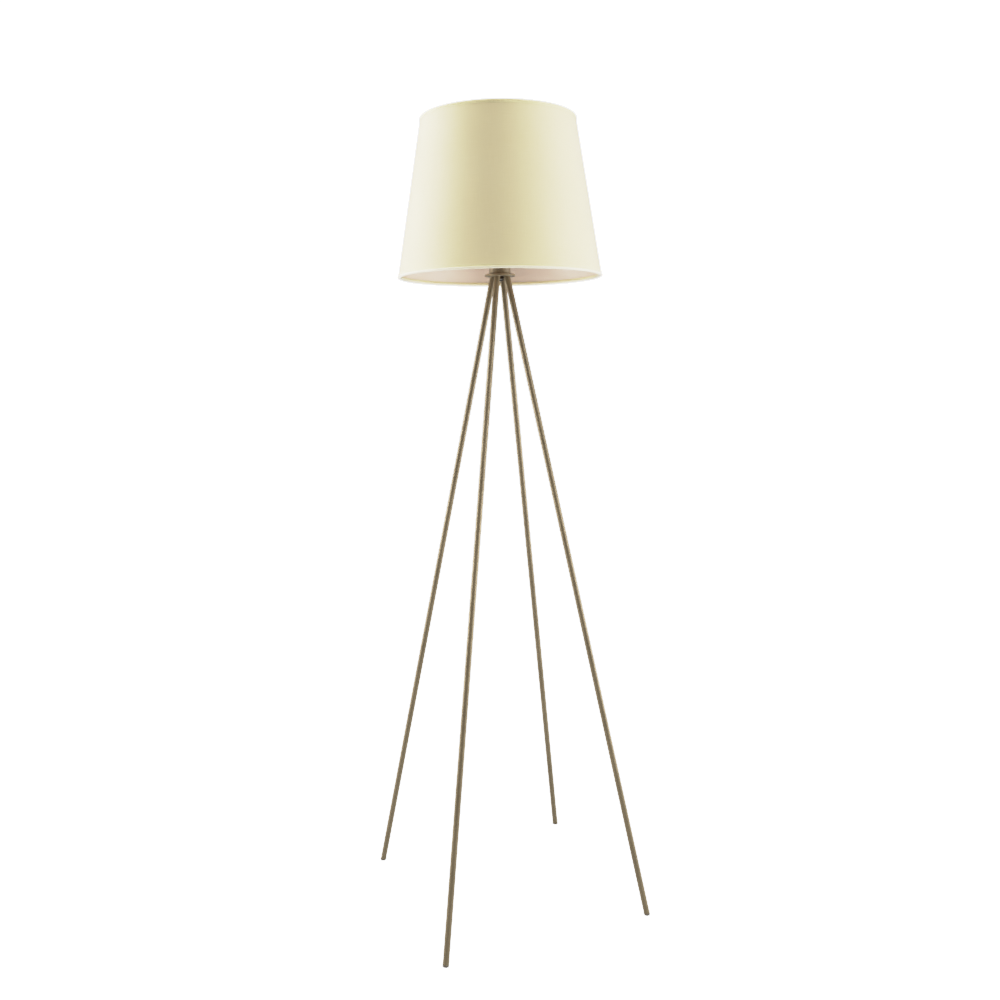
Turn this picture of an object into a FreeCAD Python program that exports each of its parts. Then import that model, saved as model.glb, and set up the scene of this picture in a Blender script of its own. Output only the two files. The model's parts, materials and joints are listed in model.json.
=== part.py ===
import FreeCAD, Part
import math
import os

import Sketcher

# Four-legged floor lamp. Millimetres and degrees, +Z up. The origin is on the floor, on the axis
# of the lamp. Heights are measured from the floor, radii from the axis.
SIZES = {
    # Legs: straight steel tubes that spread from the hub to the floor.
    "leg_count": 4,
    "leg_first_azimuth": 45,
    "leg_tube_diameter": 12,
    "leg_tube_wall": 1,
    "leg_top_radius": 15,
    "leg_foot_radius": 306,
    "foot_head_length": 3,
    "foot_head_edge": 0.4,
    "foot_stem_length": 14,
    "foot_stem_play": 0.3,
    "foot_rib_count": 3,
    "foot_rib_pitch": 4,
    "foot_rib_width": 1,
    "foot_lift": 0.5,
    "stub_collar_length": 3,
    "stud_diameter": 6,
    "stud_length": 20,
    "insert_length": 24,
    "thread_clearance": 0.05,
    "thread_chamfer": 0.5,
    # Hub: a round steel plate with a hollow threaded nipple through it.
    "disc_bottom": 1283,
    "disc_thickness": 4,
    "disc_diameter": 60,
    "disc_edge": 0.6,
    "hole_clearance": 0.1,
    "nipple_diameter": 10,
    "nipple_bore": 7.6,
    "nipple_bottom": 1276,
    "nipple_top": 1302,
    "washer_diameter": 16,
    "washer_thickness": 1,
    "nut_across_flats": 14,
    "nut_thickness": 4,
    "nut_azimuth": 15,
    "bush_flange_diameter": 13,
    "bush_flange_thickness": 1.5,
    "bush_flange_edge": 0.5,
    "bush_stem_length": 9,
    "bush_bore": 6.4,
    # Lampholder for a 27 mm screw cap, standing in a metal cup.
    "cup_diameter": 42,
    "cup_wall": 1,
    "cup_height": 38,
    "cup_corner": 3,
    "base_diameter": 38.8,
    "base_wall": 2,
    "base_floor": 3,
    "base_height": 24,
    "base_shoulder": 1,
    "base_taper_height": 8,
    "base_taper_diameter": 26,
    "boss_diameter": 19,
    "boss_height": 10,
    "lock_screw_diameter": 3,
    "lock_screw_length": 4,
    "lock_screw_depth": 3,
    "insulator_thickness": 6,
    "insulator_diameter": 33.4,
    "insulator_taper": 2,
    "terminal_width": 6,
    "terminal_depth": 7,
    "terminal_height": 8,
    "terminal_place": 10.5,
    "wire_hole": 2.6,
    "wire_hole_depth": 6,
    "terminal_screw_diameter": 3,
    "terminal_screw_height": 4,
    "terminal_screw_bite": 2,
    "screw_head_diameter": 5,
    "screw_head_height": 2,
    "contact_width": 6,
    "contact_thickness": 0.4,
    "contact_rise": 2.5,
    "contact_foot_out": 9,
    "contact_foot_in": 4,
    "contact_pad_half": 3,
    "screw_shell_bore": 26.8,
    "screw_shell_wall": 0.4,
    "screw_shell_height": 25,
    "screw_shell_flange_bore": 21,
    "skirt_diameter": 39.5,
    "skirt_wall": 2.2,
    "skirt_height": 40,
    "skirt_mouth": 28.6,
    "skirt_mouth_height": 3,
    "skirt_plain_height": 2,
    "skirt_relief": 0.3,
    "skirt_edge": 1,
    "ring_bore_gap": 0.1,
    "ring_diameter": 58,
    "ring_flange_height": 3,
    "ring_height": 7,
    "ring_collar_diameter": 46,
    "ring_edge": 1,
    "ring_collar_edge": 0.6,
    "ring_lower_height": 1327,
    # Shade: fabric on a clear liner, with a wire ring rolled into each edge.
    "shade_bottom": 1280,
    "shade_height": 300,
    "shade_low_diameter": 400,
    "shade_top_diameter": 300,
    "hem_thickness": 0.4,
    "top_hem_height": 12,
    "bottom_hem_height": 8,
    "fabric_thickness": 0.5,
    "liner_thickness": 0.5,
    "shade_wire_diameter": 4,
    "wire_gap": 0.3,
    "fitter_diameter": 60,
    "fitter_bore": 41.5,
    "fitter_thickness": 1.5,
    "clamp_gap": 0.25,
    "spoke_count": 3,
    "spoke_first_azimuth": 69,
    "spoke_corner_height": 1322,
    "spoke_bend_radius": 14,
    "weld_gap": 0.1,
    # Bulb: opal globe on a plastic housing with a 27 mm screw cap.
    "bulb_tip_height": 1321,
    "bulb_length": 110,
    "bulb_diameter": 60,
    "bulb_shell": 1.5,
    "globe_overlap": 8,
    "housing_low": 26,
    "housing_neck_height": 12,
    "housing_neck_diameter": 27,
    "cap_diameter": 26,
    "cap_wall": 0.6,
    "cap_low": 4,
    "cap_floor": 0.6,
    "cap_edge": 1,
    "cap_insulator_low": 1.4,
    "cap_insulator_diameter": 18,
    "tip_diameter": 10,
    "tip_flat_diameter": 6,
    "tip_rim": 0.4,
    "led_plate_thickness": 2,
    "led_plate_gap": 1,
    "driver_width": 16,
    "driver_thickness": 6,
    "driver_height": 24,
}

TOLERANCE = 1e-6

# The numbers a sketch uses for the ends of an edge, its centre, and its own two axes.
START = 1
END = 2
CENTRE = 3
X_AXIS = -1
Y_AXIS = -2


class Length:
    """A number together with the spreadsheet expression it comes from."""

    def __init__(self, value, text=None):
        self.value = float(value)
        self.text = repr(float(value)) if text is None else text

    def joined(self, other, sign, value):
        return Length(value, f"({self.text} {sign} {other.text})")

    def __add__(self, other):
        other = as_length(other)
        return self.joined(other, "+", self.value + other.value)

    def __sub__(self, other):
        other = as_length(other)
        return self.joined(other, "-", self.value - other.value)

    def __mul__(self, other):
        other = as_length(other)
        return self.joined(other, "*", self.value * other.value)

    def __truediv__(self, other):
        other = as_length(other)
        return self.joined(other, "/", self.value / other.value)

    def __neg__(self):
        return Length(0, "0") - self


def as_length(number):
    return number if isinstance(number, Length) else Length(number)


def size(alias):
    """One driving dimension, by its name in the sheet."""
    return Length(SIZES[alias], f"Sizes.{alias}")


def hypotenuse(one, other):
    return Length(math.hypot(one.value, other.value), f"sqrt({one.text}^2 + {other.text}^2)")


def other_leg(long_side, short_side):
    """The second short side of a right triangle."""
    value = math.sqrt(long_side.value**2 - short_side.value**2)
    return Length(value, f"sqrt({long_side.text}^2 - {short_side.text}^2)")


def fill_sheet(document):
    sheet = document.addObject("Spreadsheet::Sheet", "Sizes")
    for row, (alias, number) in enumerate(SIZES.items(), start=1):
        sheet.set(f"A{row}", alias)
        sheet.set(f"B{row}", str(number))
        sheet.setAlias(f"B{row}", alias)
    document.recompute()


# Drawing helpers ------------------------------------------------------------------------------


def new_sketch(body, plane_role):
    sketch = body.newObject("Sketcher::SketchObject", "Sketch")
    plane = next(item for item in body.Origin.OriginFeatures if item.Role == plane_role)
    sketch.AttachmentSupport = [(plane, "")]
    sketch.MapMode = "FlatFace"
    return sketch


def pin_point(sketch, geometry, point, place):
    """Hold one point of a sketch at a place whose two numbers are expressions."""
    for kind, axis, number in (("DistanceX", Y_AXIS, place[0]), ("DistanceY", X_AXIS, place[1])):
        number = as_length(number)
        if abs(number.value) < TOLERANCE:
            sketch.addConstraint(Sketcher.Constraint("PointOnObject", geometry, point, axis))
        else:
            rule = Sketcher.Constraint(kind, X_AXIS, START, geometry, point, number.value)
            index = sketch.addConstraint(rule)
            sketch.setExpression(f"Constraints[{index}]", number.text)


def vector(place):
    return FreeCAD.Vector(as_length(place[0]).value, as_length(place[1]).value, 0)


def arc_middle(start, end, radius, side):
    """The point halfway along an arc; side is +1 where it bulges to the right of start to end."""
    chord = end - start
    middle = (start + end) / 2
    across = FreeCAD.Vector(chord.y, -chord.x, 0).normalize() * side
    sagitta = abs(radius) - math.sqrt(radius**2 - (chord.Length / 2) ** 2)
    return middle + across * sagitta


def first_point(sketch, index, place):
    """Which end of an edge lies at a place."""
    return START if sketch.getPoint(index, START).distanceToPoint(place) < TOLERANCE else END


def draw_outline(sketch, corners, arcs=None):
    """Draw a closed outline. arcs gives (radius, side) for the edges that leave those corners."""
    arcs = arcs or {}
    places = [vector(corner) for corner in corners]
    edges = []
    for number, start in enumerate(places):
        end = places[(number + 1) % len(places)]
        if number in arcs:
            radius, side = arcs[number]
            middle = arc_middle(start, end, as_length(radius).value, side)
            edge = sketch.addGeometry(Part.Arc(start, middle, end), False)
        else:
            edge = sketch.addGeometry(Part.LineSegment(start, end), False)
        edges.append(edge)
    ends = [first_point(sketch, edge, places[number]) for number, edge in enumerate(edges)]
    for number, edge in enumerate(edges):
        previous = number - 1
        far_end = END if ends[previous] == START else START
        joint = Sketcher.Constraint("Coincident", edges[previous], far_end, edge, ends[number])
        sketch.addConstraint(joint)
        pin_point(sketch, edge, ends[number], corners[number])
    for number, (radius, _side) in arcs.items():
        set_radius(sketch, edges[number], radius)


def set_radius(sketch, edge, radius):
    radius = as_length(radius)
    index = sketch.addConstraint(Sketcher.Constraint("Radius", edge, radius.value))
    sketch.setExpression(f"Constraints[{index}]", radius.text)


def draw_circle(sketch, place, radius):
    circle = Part.Circle(vector(place), FreeCAD.Vector(0, 0, 1), as_length(radius).value)
    edge = sketch.addGeometry(circle, False)
    pin_point(sketch, edge, CENTRE, place)
    set_radius(sketch, edge, radius)


def new_body(document, name):
    body = document.addObject("PartDesign::Body", name)
    body.Label = name
    return body


def revolve(document, name, corners, arcs=None):
    """A piece turned about its own Z axis, from (radius, height) corners."""
    body = new_body(document, name)
    sketch = new_sketch(body, "XZ_Plane")
    draw_outline(sketch, corners, arcs)
    turned = body.newObject("PartDesign::Revolution", "Revolution")
    turned.Profile = sketch
    turned.ReferenceAxis = (sketch, ["V_Axis"])
    turned.Angle = 360
    document.recompute()
    return body


def rectangle(inner, outer, low, high):
    return [(inner, low), (outer, low), (outer, high), (inner, high)]


def cut_symmetric(document, body, corners, width):
    """Cut an outline drawn on the body's XZ plane out of it, half the width to each side."""
    before = body.Shape.Volume
    sketch = new_sketch(body, "XZ_Plane")
    draw_outline(sketch, corners)
    pocket = body.newObject("PartDesign::Pocket", "Pocket")
    pocket.Profile = sketch
    pocket.SideType = "Symmetric"
    pocket.setExpression("Length", as_length(width).text)
    document.recompute()
    if body.Shape.Volume >= before - TOLERANCE:
        raise RuntimeError(f"{body.Label}: the pocket cut nothing")


def primitive(document, kind, name, places, at=(0, 0, 0)):
    """A Part primitive with its sizes bound to expressions and its base at a place."""
    piece = document.addObject(kind, name)
    piece.Label = name
    for prop, number in places.items():
        piece.setExpression(prop, as_length(number).text)
    piece.Placement = FreeCAD.Placement(FreeCAD.Vector(*at), FreeCAD.Rotation())
    return piece


def radial_cylinder(document, name, radius, length, at, azimuth=0):
    """A cylinder that lies level and points away from the axis."""
    piece = primitive(document, "Part::Cylinder", name, {"Radius": radius, "Height": length})
    outward = FreeCAD.Rotation(FreeCAD.Vector(0, 0, 1), azimuth)
    level = FreeCAD.Rotation(FreeCAD.Vector(0, 1, 0), 90)
    piece.Placement = FreeCAD.Placement(FreeCAD.Vector(*at), outward * level)
    return piece


def boolean(document, kind, name, base, tool):
    piece = document.addObject(kind, name)
    piece.Label = name
    piece.Base = base
    piece.Tool = tool
    return piece


# Legs -----------------------------------------------------------------------------------------
# Each leg is drawn along its own Z axis, which points up the leg. Its origin is where the axis
# meets the underside of the disc, and its X axis points away from the lamp and a little up.

LEG_RUN = size("leg_foot_radius") - size("leg_top_radius")
LEG_SLOPE = LEG_RUN / size("disc_bottom")
LEG_AXIS_LENGTH = hypotenuse(LEG_RUN, size("disc_bottom"))
LEG_END = size("foot_lift") * LEG_AXIS_LENGTH / size("disc_bottom") - LEG_AXIS_LENGTH
TUBE_RADIUS = size("leg_tube_diameter") / 2
TUBE_BORE_RADIUS = TUBE_RADIUS - size("leg_tube_wall")
TUBE_LOW = LEG_END + size("foot_head_length")
TUBE_HIGH = -size("stub_collar_length")


def leg_placement(number):
    azimuth = SIZES["leg_first_azimuth"] + number * 360 / SIZES["leg_count"]
    lean = math.degrees(math.atan(LEG_SLOPE.value))
    around = FreeCAD.Rotation(FreeCAD.Vector(0, 0, 1), azimuth)
    tilt = FreeCAD.Rotation(FreeCAD.Vector(0, 1, 0), -lean)
    base = around.multVec(FreeCAD.Vector(SIZES["leg_top_radius"], 0, SIZES["disc_bottom"]))
    return FreeCAD.Placement(base, around * tilt)


def slanted_band(middle, reach, far):
    """The corners between a level plane, as the leaning leg sees it, and a line beyond it."""
    rise = LEG_SLOPE * reach
    return [(-reach, middle + rise), (reach, middle - rise), (reach, far), (-reach, far)]


def make_leg_tube(document, name):
    return revolve(document, name, rectangle(TUBE_BORE_RADIUS, TUBE_RADIUS, TUBE_LOW, TUBE_HIGH))


def make_foot_cap(document, name):
    """A ribbed plug, whose head is planed level where it meets the floor."""
    edge = size("foot_head_edge")
    stem_radius = TUBE_BORE_RADIUS - size("foot_stem_play")
    rib_half = size("foot_rib_width") / 2
    corners = [(0, LEG_END), (TUBE_RADIUS - edge, LEG_END), (TUBE_RADIUS, LEG_END + edge)]
    corners += [(TUBE_RADIUS, TUBE_LOW), (stem_radius, TUBE_LOW)]
    for rib in range(SIZES["foot_rib_count"]):
        middle = TUBE_LOW + size("foot_rib_pitch") * (rib + 1)
        corners += [(stem_radius, middle - rib_half), (TUBE_BORE_RADIUS, middle)]
        corners += [(stem_radius, middle + rib_half)]
    top = TUBE_LOW + size("foot_stem_length")
    corners += [(stem_radius, top), (0, top)]
    cap = revolve(document, name, corners)
    reach = size("leg_tube_diameter")
    below_floor = slanted_band(-LEG_AXIS_LENGTH, reach, -LEG_AXIS_LENGTH - reach)
    cut_symmetric(document, cap, below_floor, reach * 2)
    return cap


def make_leg_insert(document, name):
    """A threaded sleeve pressed into the top of the tube."""
    bore = size("stud_diameter") / 2
    low = TUBE_HIGH - size("insert_length")
    return revolve(document, name, rectangle(bore, TUBE_BORE_RADIUS, low, TUBE_HIGH))


def make_leg_stub(document, name):
    """A collar mitred to the underside of the disc, with the stud that the leg screws onto."""
    chamfer = size("thread_chamfer")
    stud_radius = size("stud_diameter") / 2 - size("thread_clearance")
    stud_low = TUBE_HIGH - size("stud_length")
    corners = [(0, stud_low), (stud_radius - chamfer, stud_low), (stud_radius, stud_low + chamfer)]
    corners += [(stud_radius, TUBE_HIGH), (TUBE_RADIUS, TUBE_HIGH)]
    corners += [(TUBE_RADIUS, TUBE_RADIUS), (0, TUBE_RADIUS)]
    stub = revolve(document, name, corners)
    reach = size("leg_tube_diameter")
    cut_symmetric(document, stub, slanted_band(Length(0), reach, reach * 2), reach * 2)
    return stub


def make_legs(document):
    makers = {
        "leg_tube": make_leg_tube,
        "foot_cap": make_foot_cap,
        "leg_insert": make_leg_insert,
        "leg_stub": make_leg_stub,
    }
    pieces = []
    for number in range(SIZES["leg_count"]):
        for kind, make in makers.items():
            piece = make(document, f"{kind}_{number + 1}")
            piece.Placement = leg_placement(number)
            pieces.append(piece)
    return pieces


# Hub ------------------------------------------------------------------------------------------

DISC_TOP = size("disc_bottom") + size("disc_thickness")
NIPPLE_RADIUS = size("nipple_diameter") / 2 - size("thread_clearance")
NIPPLE_THREAD = size("nipple_diameter") / 2
NIPPLE_HOLE = NIPPLE_THREAD + size("hole_clearance")
WASHER_BOTTOM = size("disc_bottom") - size("washer_thickness")
NUT_BOTTOM = WASHER_BOTTOM - size("nut_thickness")


def make_hub_disc(document):
    low = size("disc_bottom")
    edge = size("disc_edge")
    rim = size("disc_diameter") / 2
    corners = [(NIPPLE_HOLE, low), (rim - edge, low), (rim, low + edge)]
    corners += [(rim, DISC_TOP - edge), (rim - edge, DISC_TOP), (NIPPLE_HOLE, DISC_TOP)]
    return revolve(document, "hub_disc", corners)


def make_wire_nipple(document):
    span = rectangle(size("nipple_bore") / 2, NIPPLE_RADIUS, size("nipple_bottom"), size("nipple_top"))
    return revolve(document, "wire_nipple", span)


def make_lock_washer(document):
    rim = size("washer_diameter") / 2
    span = rectangle(NIPPLE_HOLE, rim, WASHER_BOTTOM, size("disc_bottom"))
    return revolve(document, "lock_washer", span)


def make_lock_nut(document):
    """A hexagon nut, drawn level and raised to its height under the washer."""
    body = new_body(document, "lock_nut")
    sketch = new_sketch(body, "XY_Plane")
    sketch.setExpression("AttachmentOffset.Base.z", NUT_BOTTOM.text)
    corner_radius = size("nut_across_flats") / 2 / math.cos(math.pi / 6)
    turns = [math.radians(SIZES["nut_azimuth"]) + step * math.pi / 3 for step in range(6)]
    draw_outline(sketch, [(corner_radius * math.cos(a), corner_radius * math.sin(a)) for a in turns])
    draw_circle(sketch, (0, 0), NIPPLE_THREAD)
    pad = body.newObject("PartDesign::Pad", "Pad")
    pad.Profile = sketch
    pad.setExpression("Length", size("nut_thickness").text)
    document.recompute()
    return body


def make_nipple_bush(document):
    """The smooth plastic mouth where the lead enters."""
    bore = size("bush_bore") / 2
    flange = size("bush_flange_diameter") / 2
    stem = size("nipple_bore") / 2 - size("thread_clearance")
    mouth = size("nipple_bottom") - size("bush_flange_thickness")
    stem_top = size("nipple_bottom") + size("bush_stem_length")
    edge = size("bush_flange_edge")
    corners = [(bore, mouth), (flange - edge, mouth), (flange, mouth + edge)]
    corners += [(flange, size("nipple_bottom")), (stem, size("nipple_bottom"))]
    corners += [(stem, stem_top), (bore, stem_top)]
    return revolve(document, "nipple_bush", corners)


def make_holder_cup(document):
    """A spun cup that hides the base of the lampholder."""
    outer = size("cup_diameter") / 2
    wall = size("cup_wall")
    bend = size("cup_corner")
    top = DISC_TOP + size("cup_height")
    hole = NIPPLE_HOLE
    corners = [(hole, DISC_TOP), (outer - bend, DISC_TOP), (outer, DISC_TOP + bend), (outer, top)]
    corners += [(outer - wall, top), (outer - wall, DISC_TOP + bend)]
    corners += [(outer - bend, DISC_TOP + wall), (hole, DISC_TOP + wall)]
    return revolve(document, "holder_cup", corners, {1: (bend, 1), 5: (bend - wall, -1)})


# Lampholder -----------------------------------------------------------------------------------

BASE_BOTTOM = DISC_TOP + size("cup_wall")
BASE_TOP = BASE_BOTTOM + size("base_height")
INSULATOR_TOP = BASE_TOP + size("insulator_thickness")
SKIRT_BOTTOM = BASE_TOP
SKIRT_TOP = SKIRT_BOTTOM + size("skirt_height")
LOCK_SCREW_HEIGHT = BASE_BOTTOM + size("boss_height") - size("lock_screw_depth")


def make_holder_base(document):
    """The cap that screws onto the nipple: a tapered bowl with a threaded boss inside."""
    outer = size("base_diameter") / 2
    wall = size("base_wall")
    narrow = size("base_taper_diameter") / 2
    taper_top = BASE_BOTTOM + size("base_taper_height")
    floor_top = BASE_BOTTOM + size("base_floor")
    boss = size("boss_diameter") / 2
    boss_top = BASE_BOTTOM + size("boss_height")
    corners = [(NIPPLE_THREAD, BASE_BOTTOM), (narrow, BASE_BOTTOM), (outer, taper_top)]
    corners += [(outer, BASE_TOP), (outer - wall, BASE_TOP)]
    corners += [(outer - wall, taper_top + size("base_shoulder")), (narrow, floor_top)]
    corners += [(boss, floor_top), (boss, boss_top), (NIPPLE_THREAD, boss_top)]
    bowl = revolve(document, "holder_base_bowl", corners)
    at = (0, 0, LOCK_SCREW_HEIGHT.value)
    radius = size("lock_screw_diameter") / 2
    drill = radial_cylinder(document, "lock_screw_hole", radius, narrow, at)
    return boolean(document, "Part::Cut", "holder_base_cap", bowl, drill)


def make_lock_screw(document):
    """The grub screw through the boss, which stops the holder turning on the nipple."""
    at = (NIPPLE_THREAD.value, 0, LOCK_SCREW_HEIGHT.value)
    radius = size("lock_screw_diameter") / 2 - size("thread_clearance")
    return radial_cylinder(document, "nipple_lock_screw", radius, size("lock_screw_length"), at)


def make_holder_insulator(document):
    """The ceramic disc that carries the contacts, with a lower spigot inside the base."""
    rim = size("insulator_diameter") / 2
    taper = size("insulator_taper")
    corners = [(0, BASE_TOP), (rim - taper, BASE_TOP), (rim, BASE_TOP + taper)]
    corners += [(rim, INSULATOR_TOP), (0, INSULATOR_TOP)]
    return revolve(document, "holder_insulator", corners)


TERMINAL_BOTTOM = BASE_TOP - size("terminal_height")
TERMINAL_SCREW_HEIGHT = TERMINAL_BOTTOM + size("terminal_screw_height")


def make_terminal(document, name, side):
    """A brass block under the insulator, drilled for the wire and for its clamping screw."""
    centre = side * SIZES["terminal_place"]
    sizes = {
        "Length": size("terminal_depth"),
        "Width": size("terminal_width"),
        "Height": size("terminal_height"),
    }
    corner_x = centre - SIZES["terminal_depth"] / 2
    corner = (corner_x, -SIZES["terminal_width"] / 2, TERMINAL_BOTTOM.value)
    block = primitive(document, "Part::Box", f"{name}_block", sizes, corner)
    hole = {"Radius": size("wire_hole") / 2, "Height": size("wire_hole_depth")}
    hole_at = (centre, 0, TERMINAL_BOTTOM.value)
    wire_hole = primitive(document, "Part::Cylinder", f"{name}_wire_hole", hole, hole_at)
    screw_at = (centre, 0, TERMINAL_SCREW_HEIGHT.value)
    radius = size("terminal_screw_diameter") / 2
    drill = (radius, size("terminal_depth"), screw_at, 0 if side > 0 else 180)
    screw_hole = radial_cylinder(document, f"{name}_screw_hole", *drill)
    drilled = boolean(document, "Part::Cut", f"{name}_drilled", block, wire_hole)
    return boolean(document, "Part::Cut", name, drilled, screw_hole)


def make_terminal_screws(document):
    """Two cheese-head screws, one in the outer face of each terminal."""
    height = TERMINAL_SCREW_HEIGHT.value
    bite = SIZES["terminal_screw_bite"]
    shank_radius = size("terminal_screw_diameter") / 2 - size("thread_clearance")
    shank_length = size("terminal_screw_bite") + size("screw_head_height") / 2
    head_sizes = (size("screw_head_diameter") / 2, size("screw_head_height"))
    screws = []
    for side, azimuth in ((1, 0), (-1, 180)):
        face = side * (SIZES["terminal_place"] + SIZES["terminal_depth"] / 2)
        shank_at = (face - side * bite, 0, height)
        shank = radial_cylinder(document, "screw_shank", shank_radius, shank_length, shank_at, azimuth)
        head = radial_cylinder(document, "screw_head", *head_sizes, (face, 0, height), azimuth)
        screws.append(boolean(document, "Part::Fuse", "terminal_screw", head, shank))
    group = document.addObject("Part::Compound", "terminal_screws")
    group.Label = "terminal_screws"
    group.Links = screws
    return group


def make_centre_contact(document):
    """A sprung bronze tongue: it lies on the insulator, climbs, and levels under the bulb's tip."""
    body = new_body(document, "centre_contact")
    sketch = new_sketch(body, "XZ_Plane")
    thick = size("contact_thickness")
    rise = size("contact_rise")
    low = INSULATOR_TOP
    top = low + rise
    far = -size("contact_foot_out")
    bend = -size("contact_foot_in")
    pad_half = size("contact_pad_half")
    under = [(far, low), (bend, low), (-pad_half, top), (pad_half, top)]
    over = [(pad_half, top + thick), (-pad_half - thick, top + thick)]
    over += [(bend - thick, low + thick), (far, low + thick)]
    draw_outline(sketch, under + over)
    pad = body.newObject("PartDesign::Pad", "Pad")
    pad.Profile = sketch
    pad.SideType = "Symmetric"
    pad.setExpression("Length", size("contact_width").text)
    document.recompute()
    return body


def make_screw_shell(document):
    """The brass thread that takes the bulb's cap, with a turned-in foot on the insulator."""
    bore = size("screw_shell_bore") / 2
    outer = bore + size("screw_shell_wall")
    foot = size("screw_shell_flange_bore") / 2
    foot_top = INSULATOR_TOP + size("screw_shell_wall")
    top = INSULATOR_TOP + size("screw_shell_height")
    corners = [(foot, INSULATOR_TOP), (outer, INSULATOR_TOP), (outer, top), (bore, top)]
    return revolve(document, "screw_shell", corners + [(bore, foot_top), (foot, foot_top)])


def make_holder_shell(document):
    """The outer skirt, threaded outside for the shade rings and turned in at its mouth."""
    outer = size("skirt_diameter") / 2
    inner = outer - size("skirt_wall")
    mouth = size("skirt_mouth") / 2
    relief = size("skirt_relief")
    plain_top = SKIRT_BOTTOM + size("skirt_plain_height")
    edge = size("skirt_edge")
    lip_low = SKIRT_TOP - size("skirt_mouth_height")
    corners = [(inner, SKIRT_BOTTOM), (outer - relief, SKIRT_BOTTOM), (outer - relief, plain_top)]
    corners += [(outer, plain_top + relief), (outer, SKIRT_TOP - edge), (outer - edge, SKIRT_TOP)]
    corners += [(mouth, SKIRT_TOP), (mouth, lip_low), (inner, lip_low)]
    return revolve(document, "holder_shell", corners)


RING_BORE = size("skirt_diameter") / 2 + size("ring_bore_gap")
LOWER_RING_TOP = size("ring_lower_height") + size("ring_flange_height")
FITTER_BOTTOM = LOWER_RING_TOP + size("clamp_gap")
FITTER_TOP = FITTER_BOTTOM + size("fitter_thickness")
UPPER_RING_BOTTOM = FITTER_TOP + size("clamp_gap")


def make_shade_ring_lower(document):
    rim = size("ring_diameter") / 2
    edge = size("ring_edge")
    low = size("ring_lower_height")
    corners = [(RING_BORE, low), (rim - edge, low), (rim, low + edge)]
    corners += [(rim, LOWER_RING_TOP), (RING_BORE, LOWER_RING_TOP)]
    return revolve(document, "shade_ring_lower", corners)


def make_shade_ring_upper(document):
    """The ring nut that clamps the shade: a flange with a narrower collar to grip."""
    rim = size("ring_diameter") / 2
    edge = size("ring_edge")
    collar = size("ring_collar_diameter") / 2
    collar_edge = size("ring_collar_edge")
    low = UPPER_RING_BOTTOM
    flange_top = low + size("ring_flange_height")
    top = low + size("ring_height")
    corners = [(RING_BORE, low), (rim, low), (rim, flange_top - edge), (rim - edge, flange_top)]
    corners += [(collar, flange_top), (collar, top - collar_edge), (collar - collar_edge, top)]
    return revolve(document, "shade_ring_upper", corners + [(RING_BORE, top)])


# Shade ----------------------------------------------------------------------------------------

SHADE_TOP = size("shade_bottom") + size("shade_height")
SHADE_DRAFT = (size("shade_low_diameter") - size("shade_top_diameter")) / 2 / size("shade_height")
WIRE_RADIUS = size("shade_wire_diameter") / 2
SKINS = size("hem_thickness") + size("fabric_thickness") + size("liner_thickness")
WIRE_DEPTH = SKINS + size("wire_gap") + WIRE_RADIUS
HEM_DEPTH = WIRE_DEPTH + WIRE_RADIUS + size("wire_gap") + size("hem_thickness")
WIRE_INSET = size("hem_thickness") + size("wire_gap") + WIRE_RADIUS
BOTTOM_WIRE_HEIGHT = size("shade_bottom") + WIRE_INSET
TOP_WIRE_HEIGHT = SHADE_TOP - WIRE_INSET
WALL_LOW = size("shade_bottom") + size("hem_thickness")
WALL_HIGH = SHADE_TOP - size("hem_thickness")


def wall_point(height, depth):
    """A point at a height, a level depth in from the outside of the shade."""
    radius = size("shade_low_diameter") / 2 - (height - size("shade_bottom")) * SHADE_DRAFT
    return (radius - depth, height)


def make_skin(document, name, outside, inside):
    corners = [wall_point(WALL_LOW, outside), wall_point(WALL_HIGH, outside)]
    corners += [wall_point(WALL_HIGH, inside), wall_point(WALL_LOW, inside)]
    return revolve(document, name, corners)


def make_hem(document, name, edge, web, outer_end, inner_end):
    """A folded strip: down the outside, across the edge and back up inside the wire ring."""
    thick = size("hem_thickness")
    outer_skin = [wall_point(outer_end, 0), wall_point(edge, 0)]
    inner_skin = [wall_point(edge, HEM_DEPTH), wall_point(inner_end, HEM_DEPTH)]
    inner_back = [wall_point(inner_end, HEM_DEPTH - thick), wall_point(web, HEM_DEPTH - thick)]
    outer_back = [wall_point(web, thick), wall_point(outer_end, thick)]
    return revolve(document, name, outer_skin + inner_skin + inner_back + outer_back)


def make_wire_ring(document, name, height):
    radius, _ = wall_point(height, WIRE_DEPTH)
    sizes = {"Radius1": radius, "Radius2": WIRE_RADIUS}
    return primitive(document, "Part::Torus", name, sizes, (0, 0, height.value))


def make_fitter_ring(document):
    span = rectangle(size("fitter_bore") / 2, size("fitter_diameter") / 2, FITTER_BOTTOM, FITTER_TOP)
    return revolve(document, "fitter_ring", span)


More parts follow.
